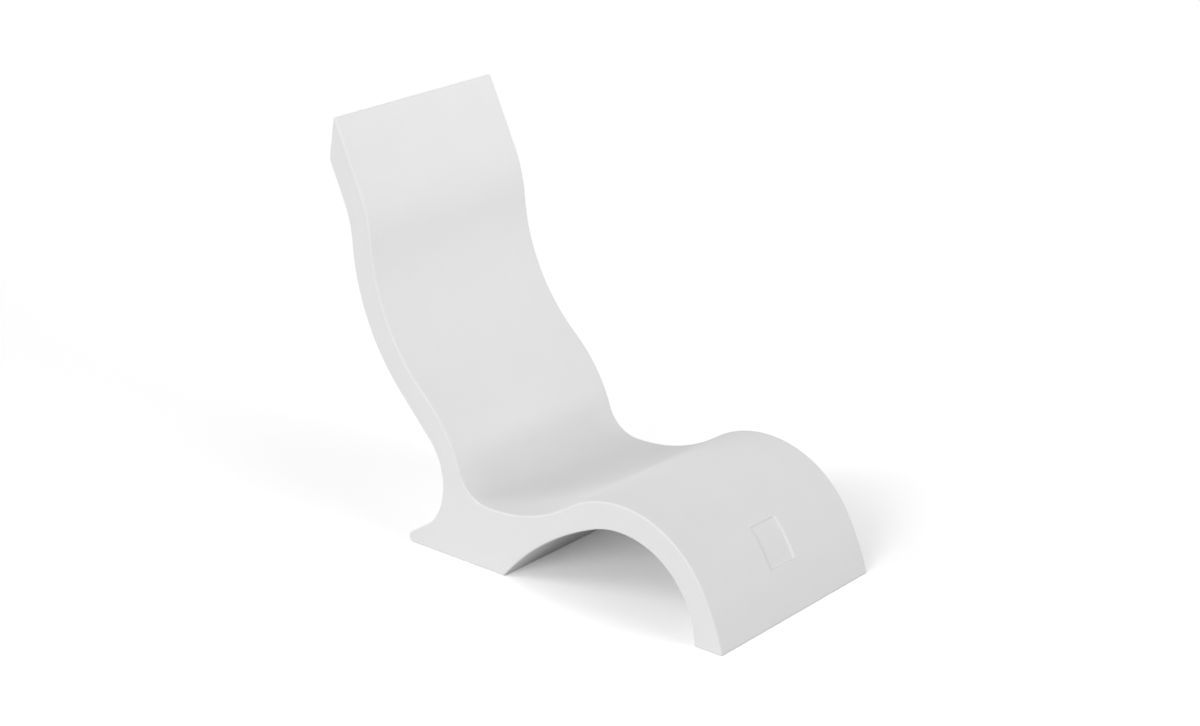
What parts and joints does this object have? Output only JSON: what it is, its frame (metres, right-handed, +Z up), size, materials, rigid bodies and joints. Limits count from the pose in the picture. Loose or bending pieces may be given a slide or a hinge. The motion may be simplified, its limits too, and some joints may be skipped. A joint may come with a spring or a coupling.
{
  "type": "reclined lounger",
  "caption": "Hollow moulded lounger with a wave-shaped seat over an arch, a reclined back, a flared rear foot and screwed ports to fill and drain its water ballast.",
  "frame": {"origin": "on the floor, under the middle of the footprint's bounding box", "axes": "+X across the width, +Y from the toe towards the headrest, +Z up"},
  "size_m": [0.568, 1.2014, 1.0272],
  "materials": {
    "shell": "rotationally moulded polyethylene, satin, very fine even grain",
    "insert": "turned",
    "gasket": "smooth moulded",
    "plug": "injection moulded, satin"
  },
  "bodies": {
    "shell": {"body_shell": "shell", "fill_port_insert": "insert", "drain_port_insert": "insert"},
    "fill_gasket": {"fill_plug_gasket": "gasket"},
    "fill_plug": {"fill_plug": "plug"},
    "drain_gasket": {"drain_plug_gasket": "gasket"},
    "drain_plug": {"drain_plug": "plug"}
  },
  "joints": [
    {"name": "fill_plug_travel", "type": "slide", "parent": "shell", "child": "fill_gasket", "axis": [0, 0.9078, -0.4195], "range_m": [0, 0.0201]},
    {"name": "fill_plug_turn", "type": "hinge", "parent": "fill_gasket", "child": "fill_plug", "pos_m": [0, 0.57989, 0.87807], "axis": [0, 0.9078, -0.4195], "range_deg": [0, 1800]},
    {"name": "drain_plug_travel", "type": "slide", "parent": "shell", "child": "drain_gasket", "axis": [0, 0.878, 0.4787], "range_m": [0, 0.0201]},
    {"name": "drain_plug_turn", "type": "hinge", "parent": "drain_gasket", "child": "drain_plug", "pos_m": [0, 0.26524, 0.10171], "axis": [0, 0.878, 0.4787], "range_deg": [0, 1800]}
  ],
  "couplings": [
    {"joint": "fill_plug_travel", "follows": "fill_plug_turn", "m_per_rad": 0.00063662},
    {"joint": "drain_plug_travel", "follows": "drain_plug_turn", "m_per_rad": 0.00063662}
  ]
}
